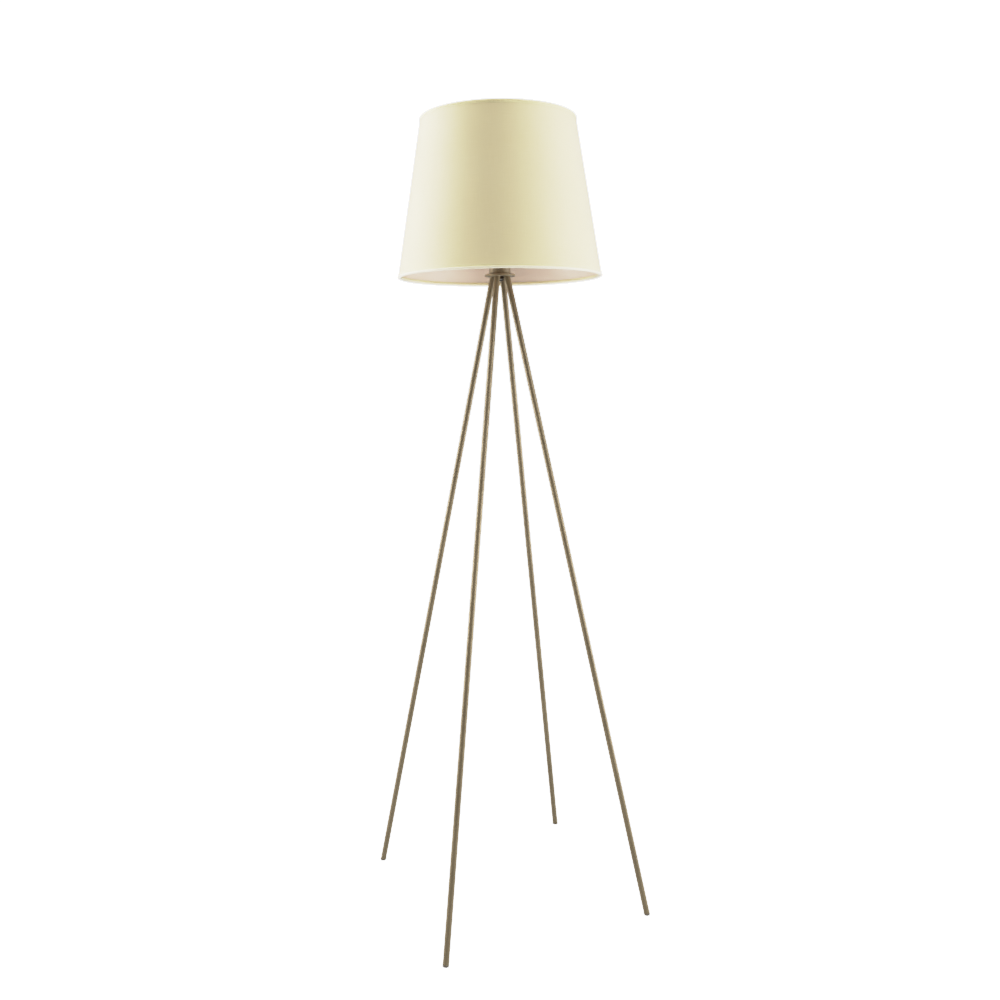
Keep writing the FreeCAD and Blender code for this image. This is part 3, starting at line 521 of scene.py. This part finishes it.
def make_weld(number, place, height):
    """The bead that joins a collar to the underside of the disc, with the ripples of a real one."""
    points, along = [], place.to_3x3() @ UP
    for step in range(WELD_STEPS):
        angle = FULL_TURN * step / WELD_STEPS
        across = TUBE_RADIUS * MM
        start = place @ Vector((across * math.cos(angle), across * math.sin(angle), 0))
        reach = (height * MM - start.z) / along.z
        points.append((start + along * reach) / MM)
    centre = sum(points, Vector()) / len(points)
    vertices, faces, sides = [], [], WELD_SIDES
    for step, point in enumerate(points):
        out = (point - centre).normalized()
        uneven = noise.noise(Vector((step * 0.3, number, 0)))
        size = WELD_SIZE + 0.12 * math.sin(step * 1.9) + 0.15 * uneven
        for side in range(sides):
            angle = FULL_TURN * side / sides
            drop = size * abs(math.sin(angle))
            vertices.append(point + out * (size * math.cos(angle)) - UP * drop)
    for step in range(len(points)):
        ahead = (step + 1) % len(points)
        here, there = step * sides, ahead * sides
        for side in range(sides):
            after = (side + 1) % sides
            faces.append((here + side, there + side, there + after, here + after))
    add_piece(f"weld_{number}", (vertices, faces), "antique_gold_paint", "stand")


# Hub -------------------------------------------------------------------------------------------

HOLE_RADIUS = 5.1
CUP_WALL = 1
WASHER_TEETH = 14
NUT_FLAT = 7
NUT_CORNER = math.radians(15)


def make_disc():
    low, high, rim = span("hub_disc")
    outline = rounded([(HOLE_RADIUS, low), (rim, low, 0.7), (rim, high, 0.7), (HOLE_RADIUS, high)])
    add_piece("disc", turned(outline, 160), "antique_gold_paint", "stand", ("hub_disc",))


def make_cup():
    low, high, rim = span("holder_cup")
    outline = rounded(
        [
            (HOLE_RADIUS, low),
            (rim, low, 3.2),
            (rim, high, 0.45),
            (rim - CUP_WALL, high, 0.45),
            (rim - CUP_WALL, low + CUP_WALL, 2.4),
            (HOLE_RADIUS, low + CUP_WALL),
        ],
        steps=8,
    )
    add_piece("cup", turned(outline, 160), "antique_gold_paint", "stand", ("holder_cup",))


def make_washer():
    low, high, rim = span("lock_washer")
    outline = rounded([(HOLE_RADIUS, low), (rim, low, 0.3), (rim, high, 0.3), (HOLE_RADIUS, high)])

    def teeth(angle, radius, height):
        notch = max(0, math.cos(WASHER_TEETH * angle) - 0.2)
        return radius - (notch if radius > rim - 1 else 0), height

    geometry = turned(outline, 168, teeth)
    add_piece("star_washer", geometry, "bronzed_steel", "stand", ("lock_washer",))


def make_nut():
    low, high, _rim = span("lock_nut")
    flat = NUT_FLAT
    levels = [low, low + 0.15, low + 0.35, low + 0.6, (low + high) / 2]
    levels += [high - 0.6, high - 0.35, high - 0.15, high]
    outline = [(flat, level) for level in levels] + [(HOLE_RADIUS, high), (HOLE_RADIUS, low)]

    def hexagon(angle, radius, height):
        if radius < flat:
            return radius, height
        off = (angle - NUT_CORNER) % (FULL_TURN / 6) - FULL_TURN / 12
        cone = flat - 0.15 + min(height - low, high - height) * 1.8
        return min(flat / math.cos(off), cone), height

    add_piece("nut", turned(outline, 144, hexagon), "bronzed_steel", "stand", ("lock_nut",), sharp=25)


NIPPLE_RADIUS = 4.95
NIPPLE_BORE = 3.8
NIPPLE_PITCH = 1.0
NIPPLE_SEEN = 3


def make_nipple():
    """The threaded tube that holds the cup to the disc; only its seen lower end has a thread."""
    low, high, _rim = span("wire_nipple")
    radius, bore, seen = NIPPLE_RADIUS, NIPPLE_BORE, NIPPLE_SEEN
    threaded = [(radius, level) for level in rows(low + 0.2, low + seen, NIPPLE_PITCH / 8)]
    outline = [(bore, low), (radius - 0.4, low)] + threaded + [(radius, high), (bore, high)]

    def thread(angle, r, height):
        if r < radius or height > low + seen:
            return r, height
        return r - 0.5 * (1 - ripple(angle, height, NIPPLE_PITCH)), height

    add_piece("nipple", turned(outline, 72, thread), "zinc_steel", "stand", ("wire_nipple",))


def make_bush():
    low, high, rim = span("nipple_bush")
    bore, sleeve, lip = 3.2, 3.72, low + 1.5
    corners = [(bore, low, 0.9), (rim, low, 0.8), (rim, lip, 0.3)]
    corners += [(sleeve, lip), (sleeve, high), (bore, high)]
    add_piece("bush", turned(rounded(corners), 96), "black_plastic", "stand", ("nipple_bush",))


# Lampholder ------------------------------------------------------------------------------------


def make_base_cap():
    low, high, rim = span("holder_base_cap")
    inside = rim - 2
    hole, neck, base = 5, 9.5, 13
    corners = [(hole, low), (base, low, 0.8), (rim, low + 8, 1.5), (rim, high), (inside, high)]
    corners += [(inside, low + 9, 1.0), (base, low + 3), (neck, low + 3)]
    corners += [(neck, low + 10, 0.4), (hole, low + 10)]
    geometry = turned(rounded(corners), 120)
    add_piece("base_cap", geometry, "black_plastic", "stand", ("holder_base_cap",))


SKIRT_PITCH = 2.8
SKIRT_WALL = 2.2
SKIRT_MOUTH = 14.3


def make_skirt():
    """The outer sleeve of the lampholder, with the coarse thread that the shade rings run on."""
    low, high, rim = span("holder_shell")
    inner, mouth, lip = rim - SKIRT_WALL, SKIRT_MOUTH, high - 3
    wall = [(rim, level) for level in rows(low + 0.4, high - 0.8, SKIRT_PITCH / 8)]
    crown = rounded([(rim, high - 0.8, 0), (rim, high, 0.9), (mouth, high, 0.8), (mouth, lip, 0.3)])
    outline = [(inner, low), (rim - 0.3, low)] + wall + crown[1:] + [(inner, lip)]

    def thread(angle, radius, height):
        if radius < rim - 0.01:
            return radius, height
        run = fade(height, low + 2, low + 4) * fade(height, high - 2, high - 4)
        return radius - 0.55 * run * (1 - ripple(angle, height, SKIRT_PITCH)), height

    add_piece("skirt", turned(outline, 120, thread), "black_plastic", "stand", ("holder_shell",))


def ribbed(radius, depth, count):
    """A grip of upright ribs cut into one radius of a turned piece."""

    def shape(angle, r, height):
        cut = depth * (0.5 - 0.5 * math.cos(count * angle)) if abs(r - radius) < 0.35 else 0
        return r - cut, height

    return shape


SHADE_RING_BORE = 19.85


def make_lower_ring():
    low, high, rim = span("shade_ring_lower")
    bore = SHADE_RING_BORE
    outline = rounded([(bore, low), (rim, low, 0.6), (rim, high, 0.5), (bore, high)])
    geometry = turned(outline, 288, ribbed(rim, 0.45, 72))
    add_piece("lower_ring", geometry, "black_plastic", "stand", ("shade_ring_lower",))


def make_upper_ring():
    low, high, rim = span("shade_ring_upper")
    bore, collar, flange = SHADE_RING_BORE, 23, low + 3
    corners = [(bore, low), (rim, low, 0.5), (rim, flange, 0.8), (collar, flange, 0.2)]
    corners += [(collar, high, 0.5), (bore, high, 0.5)]
    geometry = turned(rounded(corners), 288, ribbed(collar, 0.5, 48))
    add_piece("ring_nut", geometry, "black_plastic", "ring_nut", ("shade_ring_upper",))


EDISON_PITCH = 3.629
EDISON_DEPTH = 0.35
SOCKET_HOLE = 10.5


def make_socket():
    """The brass screw shell, its thread in step with the thread of the bulb's cap."""
    low, high, _rim = span("screw_shell")
    middle, wall = 13.2, 0.3
    levels = rows(low + 0.4, high, EDISON_PITCH / 10)
    outline = [(SOCKET_HOLE, low), (middle + wall, low)]
    outline += [(middle + wall, level) for level in levels]
    outline += [(middle, level) for level in reversed(levels)] + [(SOCKET_HOLE, low + 0.4)]

    def thread(angle, radius, height):
        if radius < middle:
            return radius, height
        run = fade(height, low + 1, low + 4)
        return radius + EDISON_DEPTH * run * (2 * ripple(angle, height, EDISON_PITCH) - 1), height

    add_piece("screw_sleeve", turned(outline, 96, thread), "contact_brass", "stand", ("screw_shell",))


# Shade -----------------------------------------------------------------------------------------

HEM_HALF = 0.2
SEAM_LAP = 10
CLOTH_END = 4.9
CLOTH_ROW = 12
SHADE_SEGMENTS = 256


class Wall:
    """The straight sloping line of the shade's outside, from the CAD hems."""

    def __init__(self):
        low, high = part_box("bottom_hem")
        self.low = low.z / MM
        self.low_radius = high.x / MM
        low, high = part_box("top_hem")
        self.high = high.z / MM

    def radius(self, height, depth=0.0):
        return self.low_radius - (height - self.low) * SHADE_SLOPE - depth


def make_strip(name, wall, depth, thick, sunk, proud, slot, stands_for):
    """A skin wound once round the shade; its ends lap over each other at the back.

    One end lies sunk and the other stands proud of the wall, in millimetres, where they meet.
    """
    heights = rows(wall.low + CLOTH_END, wall.high - CLOTH_END, CLOTH_ROW)
    lap = SEAM_LAP / wall.radius((wall.low + wall.high) / 2)
    turns = [number / SHADE_SEGMENTS for number in range(SHADE_SEGMENTS + 1)]
    angles = sorted({turn * FULL_TURN for turn in turns} | {lap, lap * 1.5, FULL_TURN - lap * 0.5})
    angles += [FULL_TURN + lap * 0.5, FULL_TURN + lap]
    vertices, faces = [], []
    for angle in angles:
        shift = sunk * fade(angle, lap * 1.5, lap)
        shift -= proud * fade(angle, FULL_TURN - lap * 0.5, FULL_TURN)
        for extra in (0, thick):
            for height in heights:
                radius = wall.radius(height, depth + shift + extra)
                turn = BACK_AZIMUTH + angle - lap / 2
                vertices.append((radius * math.cos(turn), radius * math.sin(turn), height))
    count = len(heights)
    for column in range(len(angles) - 1):
        here, there = column * 2 * count, (column + 1) * 2 * count
        inner_here, inner_there = here + count, there + count
        for row in range(count - 1):
            above = row + 1
            faces.append((here + row, there + row, there + above, here + above))
            faces.append((inner_here + above, inner_there + above, inner_there + row, inner_here + row))
        for row in (0, count - 1):
            faces.append((here + row, here + count + row, there + count + row, there + row))
    for column in (0, len(angles) - 1):
        here = column * 2 * count
        for row in range(count - 1):
            faces.append((here + row, here + row + 1, here + count + row + 1, here + count + row))
    return add_piece(name, (vertices, faces), slot, "shade", stands_for)


# Half of a hem's cross-section: depth in from the wall and distance in from the edge. It runs
# down the outside, round the wire and back up to the lining.
HEM_FOLD = [(0.2, 6.2), (0.45, 5.7), (0.75, 5.3), (0.5, 4.85), (-0.3, 4.2), (-0.85, 3.2)]
HEM_FOLD += [(-0.8, 2.0), (-0.15, 0.95), (0.9, 0.4), (2.0, 0.2), (3.2, 0.2), (4.4, 0.4)]
HEM_FOLD += [(5.4, 1.0), (6.0, 2.0), (6.15, 3.1), (5.8, 4.2), (4.9, 5.0), (3.7, 5.35)]
HEM_FOLD += [(2.6, 5.6), (2.15, 6.1), (2.1, 7.2)]


def make_hem(name, wall, bottom, leg, slot, stands_for):
    """Cloth rolled round the edge wire, with the small puckers that rolling leaves."""
    depth, start = HEM_FOLD[0]
    centre = [(depth, leg), (depth, (leg + start) / 2)] + HEM_FOLD
    points = [Vector(point) for point in centre]
    outer, inner = [], []
    for number, point in enumerate(points):
        before = points[max(number - 1, 0)]
        after = points[min(number + 1, len(points) - 1)]
        along = (after - before).normalized()
        across = Vector((along.y, -along.x)) * HEM_HALF
        outer.append(point + across)
        inner.append(point - across)
    end = Vector((0, HEM_HALF))
    loop = [points[0] + end] + outer + [points[-1] + end] + inner[::-1]

    def place(angle, depth, off):
        spot = Vector((math.cos(angle) * 9, math.sin(angle) * 9, 3 if bottom else 7))
        fine = Vector((math.cos(angle) * 40, math.sin(angle) * 40, 1 if bottom else 5))
        rolled = fade(off, 6.0, 4.0)
        pucker = (0.16 * noise.noise(spot) + 0.10 * noise.noise(fine)) * rolled
        height = wall.low + off if bottom else wall.high - off
        return wall.radius(height, depth + pucker), height

    vertices, faces = [], []
    count, segments = len(loop), SHADE_SEGMENTS * 2
    for step in range(segments):
        angle = FULL_TURN * step / segments
        for depth, off in loop:
            radius, height = place(angle, depth, off)
            vertices.append((radius * math.cos(angle), radius * math.sin(angle), height))
    for step in range(segments):
        here, there = step * count, (step + 1) % segments * count
        for number in range(count):
            ahead = (number + 1) % count
            faces.append((here + number, there + number, there + ahead, here + ahead))
    return add_piece(name, (vertices, faces), slot, "shade", stands_for, sharp=60)


def make_edge_wire(name, node):
    low, high, rim = span(node)
    radius = (high - low) / 2
    centre = (rim - radius, (low + high) / 2)
    outline = [
        (centre[0] + radius * math.cos(turn), centre[1] + radius * math.sin(turn))
        for turn in np.linspace(0, FULL_TURN, 20, endpoint=False)
    ]
    add_piece(name, turned(outline, SHADE_SEGMENTS), "white_wire", "shade", (node,))


FITTER_BORE = 20.75


def make_fitter():
    low, high, rim = span("fitter_ring")
    bore = FITTER_BORE
    outline = rounded([(bore, low), (rim, low), (rim, high), (bore, high)], 0.4)
    add_piece("fitter", turned(outline, 160), "white_wire", "shade", ("fitter_ring",))


SPOKE_RADIUS = 2
SPOKE_BEND = 14
SPOKE_BEND_STEPS = 12
SPOKE_DEPTH = 3.7
SPOKE_CORNER = 1322


def make_fitter_spoke(number, wall):
    node = f"fitter_spoke_{number}"
    points = cad_points(node)
    foot = points[points[:, 2] < points[:, 2].min() + 0.002].mean(0)
    azimuth = math.atan2(foot[1], foot[0])
    _wire_low, wire_high, _rim = span("bottom_wire_ring")
    fitter_low, fitter_high, fitter_rim = span("fitter_ring")
    start = Vector((wall.radius(wire_high, SPOKE_DEPTH), wire_high - 1))
    corner = Vector((wall.radius(SPOKE_CORNER, SPOKE_DEPTH), SPOKE_CORNER))
    end = Vector((fitter_rim - 0.6, (fitter_low + fitter_high) / 2))
    down, inward = (start - corner).normalized(), (end - corner).normalized()
    half = down.angle(inward) / 2
    back = SPOKE_BEND / math.tan(half)
    middle = corner + (down + inward).normalized() * (SPOKE_BEND / math.sin(half))
    first = math.atan2(*reversed(corner + down * back - middle))
    last = math.atan2(*reversed(corner + inward * back - middle))
    line = [start, start.lerp(corner + down * back, 0.5)]
    for step in range(SPOKE_BEND_STEPS + 1):
        turn = first + (last - first) * step / SPOKE_BEND_STEPS
        line.append(middle + Vector((math.cos(turn), math.sin(turn))) * SPOKE_BEND)
    line += [line[-1].lerp(end, 0.5), end]
    around = Matrix.Rotation(azimuth, 4, "Z")
    path = [around @ Vector((point.x, 0, point.y)) for point in line]
    add_piece(f"spoke_{number}", swept(path, SPOKE_RADIUS), "white_wire", "shade", (node,))
    for part, place in (("foot", line[0]), ("hub", line[-1])):
        make_weld_spot(f"spoke_{part}_weld_{number}", around @ Vector((place.x, 0, place.y)), number)


WELD_SPOT_RADIUS = 2.9
WELD_SPOT_HALF = 1.7


def make_weld_spot(name, place, seed):
    """A lump of weld under the powder coat, a little uneven."""
    wide, half = WELD_SPOT_RADIUS, WELD_SPOT_HALF
    turns = np.linspace(0, math.pi, 13)
    outline = [(wide * math.sin(turn), -half * math.cos(turn)) for turn in turns]
    outline[0], outline[-1] = (0, -half), (0, half)

    def lumpy(angle, radius, height):
        spot = Vector((math.cos(angle), math.sin(angle), height * 0.5 + seed * 7 + place.z))
        return radius * (1 + 0.25 * noise.noise(spot)), height

    shift = Matrix.Translation(place * MM)
    add_piece(name, turned(outline, 28, lumpy), "white_wire", "shade", place=shift)


# Bulb ------------------------------------------------------------------------------------------


GLOBE_WALL = 1.5
NECK_RADIUS = 13.5
NECK_HEIGHT = 12
FLARE_BEND = 60
CAP_WALL = 0.5


def arc(radius, centre, start, end, count):
    """Points on an upright circle about the axis, between two angles above its middle."""
    turns = np.linspace(start, end, count)
    return [(radius * math.cos(turn), centre + radius * math.sin(turn)) for turn in turns]


def make_globe():
    """The light globe, a hollow dome. Returns the radius of its open lower edge."""
    low, top, radius = span("bulb_globe")
    centre = top - radius
    inside = radius - GLOBE_WALL
    outer = arc(radius, centre, math.asin((low - centre) / radius), math.pi / 2, 28)
    inner = arc(inside, centre, math.pi / 2, math.asin((low - centre) / inside), 20)
    outer[-1], inner[0] = (0, top), (0, top - GLOBE_WALL)
    add_piece("globe", turned(inner + outer, 128), "opal_plastic", "bulb", ("bulb_globe",))
    return outer[0][0]


def make_bulb_body(rim):
    """The housing between cap and globe: a neck with a groove, and a flare that bulges a little."""
    low, high, _rim = span("bulb_housing")
    neck, groove = NECK_RADIUS, NECK_RADIUS - 0.35
    neck_top = low + NECK_HEIGHT
    chord = Vector((rim - neck, high - neck_top))
    across = Vector((chord.y, -chord.x)).normalized()
    sagitta = FLARE_BEND - math.sqrt(FLARE_BEND**2 - (chord.length / 2) ** 2)
    flare = []
    for along in np.linspace(0, 1, 20):
        bulge = 4 * along * (1 - along) * sagitta
        flare.append(Vector((neck, neck_top)) + chord * along + across * bulge)
    outside = [(neck - 0.4, low), (neck, low + 0.5), (neck, low + 3), (groove, low + 3.3)]
    outside += [(groove, low + 3.9), (neck, low + 4.2)]
    outside += [tuple(point) for point in flare[:-1]]
    outside += [(rim, high - 1.4), (rim + 0.02, high - 0.9), (rim - 0.35, high - 0.5)]
    outside += [(rim - 0.35, high)]
    inside = [(rim - GLOBE_WALL, high)]
    inside += [(point.x - GLOBE_WALL, point.y) for point in flare[::-1][1:]]
    outline = outside + inside + [(neck - GLOBE_WALL, low)]
    add_piece("bulb_body", turned(outline, 128), "bulb_white_plastic", "bulb", ("bulb_housing",))


def make_bulb_cap():
    """The screw cap, a rolled shell whose thread fades out at both ends."""
    low, high, rim = span("bulb_screw_cap")
    middle = rim - EDISON_DEPTH
    inner, shoulder = middle - CAP_WALL - EDISON_DEPTH, 9
    levels = rows(low + 0.9, high, EDISON_PITCH / 10)
    outline = [(shoulder, low), (rim - 1.6, low)] + [(middle, level) for level in levels]
    outline += [(inner, high), (inner, low + 1.4), (shoulder, low + 0.6)]

    def thread(angle, radius, height):
        if radius < middle - 0.01:
            return radius, height
        run = fade(height, low + 1, low + 3) * fade(height, high - 1.5, high - 4)
        return radius + EDISON_DEPTH * run * (2 * ripple(angle, height, EDISON_PITCH) - 1), height

    geometry = turned(outline, 96, thread)
    add_piece("edison_cap", geometry, "nickel_plate", "bulb", ("bulb_screw_cap",))


# CAD nodes that stay ---------------------------------------------------------------------------


def dress_hidden_nodes():
    """Give each CAD node that stays shown the procedural material of its own slot."""
    slots = {row["node"]: row["material_slot"] for row in frame["record"]["subparts"]}
    for name, node in frame["nodes"].items():
        if node.hide_render:
            continue
        material = materials[slots[name]]
        if not node.material_slots:
            node.data.materials.append(material)
        for holder in node.material_slots:
            holder.material = material


# Stage -----------------------------------------------------------------------------------------

LIGHTS = [
    # name, right, near, height, target height, the panel's width and height, power
    ("left_panel", -2.0, -0.2, 1.7, 1.1, 1.4, 2.0, 70),
    ("left_high", -1.8, -0.2, 3.0, 1.2, 1.4, 1.4, 30),
    ("left_low", -2.0, 0.0, 0.6, 0.8, 1.4, 1.0, 27),
    ("right_panel", 1.75, 0.9, 1.7, 1.1, 1.4, 2.0, 34),
    ("right_high", 1.8, 0.2, 3.0, 1.2, 1.4, 1.4, 22),
    ("right_low", 2.0, 0.0, 0.6, 0.8, 1.4, 1.0, 40),
]


# How the camera answers to light: evenly up to EVEN_LIGHT, ever less up to LAST_SOFT_LIGHT, and
# then up to white at WHITE. The backdrop is brighter than WHITE, so it shows as plain white.
WHITE = 2.1
BACKDROP = 2.25
EVEN_LIGHT = 0.58
LAST_SOFT_LIGHT = 1.9
TONE_LIMIT = 1.05
TONE_POWER = 0.93
TONE_POINTS = 13
NEAR_WHITE = (2.02, 0.93)


def tone(light):
    """The brightness in the picture that an amount of light above EVEN_LIGHT gives."""
    room = TONE_LIMIT - EVEN_LIGHT
    excess = (light - EVEN_LIGHT) / room
    return EVEN_LIGHT + room * excess / (1 + excess**TONE_POWER) ** (1 / TONE_POWER)


def set_tones():
    """Give the picture the soft shoulder of a bright studio photograph."""
    view = bpy.context.scene.view_settings
    view.view_transform = "Standard"
    view.use_curve_mapping = True
    mapping = view.curve_mapping
    mapping.white_level = (WHITE, WHITE, WHITE)
    points = mapping.curves[3].points
    for light in np.linspace(EVEN_LIGHT, LAST_SOFT_LIGHT, TONE_POINTS):
        points.new(light / WHITE, tone(light))
    points.new(NEAR_WHITE[0] / WHITE, NEAR_WHITE[1])
    for point in points:
        point.handle_type = "VECTOR"
    mapping.update()


FLOOR_HALF = 12
SKY_LIGHT = (0.02, 2.2)
SKY_RISE = (0.55, 0.92)


def make_floor():
    """A pale floor that blends with the backdrop and lets a camera below it see the lamp."""
    half = FLOOR_HALF
    corners = [(-half, -half, 0), (half, -half, 0), (half, half, 0), (-half, half, 0)]
    mesh = bpy.data.meshes.new("floor")
    mesh.from_pydata(corners, [], [(0, 1, 2, 3)])
    floor = bpy.data.objects.new("floor", mesh)
    bpy.context.scene.collection.objects.link(floor)
    graph = material_graph("floor")
    seen = graph.add("LightPath", output="Is Camera Ray")
    grey = graph.add("BsdfDiffuse", {"Color": (0.4, 0.4, 0.4, 1)})
    white = graph.add("Emission", {"Color": (1, 1, 1, 1), "Strength": BACKDROP})
    soft = graph.add("BsdfDiffuse", {"Color": (0.2, 0.2, 0.2, 1)})
    pale = graph.add("AddShader", {0: white, 1: soft})
    above = graph.add("MixShader", {0: seen, 1: grey, 2: pale})
    below = graph.add("NewGeometry", output="Backfacing")
    clear = graph.add("BsdfTransparent")
    graph.finish(graph.add("MixShader", {0: below, 1: above, 2: clear}))
    mesh.materials.append(materials["floor"])


def make_world():
    """A plain white backdrop for the camera; the lamp itself is lit by a soft sky from above."""
    world = bpy.data.worlds.new("world")
    bpy.context.scene.world = world
    world.use_nodes = True
    graph = Graph(world.node_tree)
    seen = graph.add("LightPath", output="Is Camera Ray")
    direction = graph.add("TexCoord", output="Generated")
    rise = graph.add("SeparateXYZ", {0: direction}, output="Z")
    strength = graph.remap(rise, *SKY_LIGHT, *SKY_RISE)
    dim = graph.add("Background", {"Color": (1, 1, 1, 1), "Strength": strength})
    white = graph.add("Background", {"Color": (1, 1, 1, 1), "Strength": BACKDROP})
    mixed = graph.add("MixShader", {0: seen, 1: dim, 2: white})
    graph.add("OutputWorld", {"Surface": mixed}, output=None)


def make_lights():
    for name, right, near, height, aim, wide, tall, power in LIGHTS:
        place = from_camera_side(right, near, height)
        area_light(name, place, Vector((0, 0, aim)), wide, tall, power)


def main():
    set_tones()
    make_camera()
    make_materials()
    for number in (1, 2, 3, 4):
        make_leg(number)
    make_disc()
    make_cup()
    make_washer()
    make_nut()
    make_nipple()
    make_bush()
    make_base_cap()
    make_skirt()
    make_lower_ring()
    make_upper_ring()
    make_socket()
    wall = Wall()
    cloth = make_strip("shade_cloth", wall, 0.42, 0.36, 0.16, 0.3, "shade_fabric", ("shade_fabric",))
    make_strip("shade_lining", wall, 0.96, 0.4, 0.45, 0.0, "shade_liner", ("shade_liner",))
    hems = [
        make_hem("lower_hem", wall, True, 8, "shade_hem", ("bottom_hem",)),
        make_hem("upper_hem", wall, False, 7.4, "shade_hem", ("top_hem",)),
    ]
    make_edge_wire("lower_wire", "bottom_wire_ring")
    make_edge_wire("upper_wire", "top_wire_ring")
    make_fitter()
    for number in (1, 2, 3):
        make_fitter_spoke(number, wall)
    make_bulb_body(make_globe())
    make_bulb_cap()
    dress_hidden_nodes()
    make_floor()
    make_world()
    make_lights()


main()
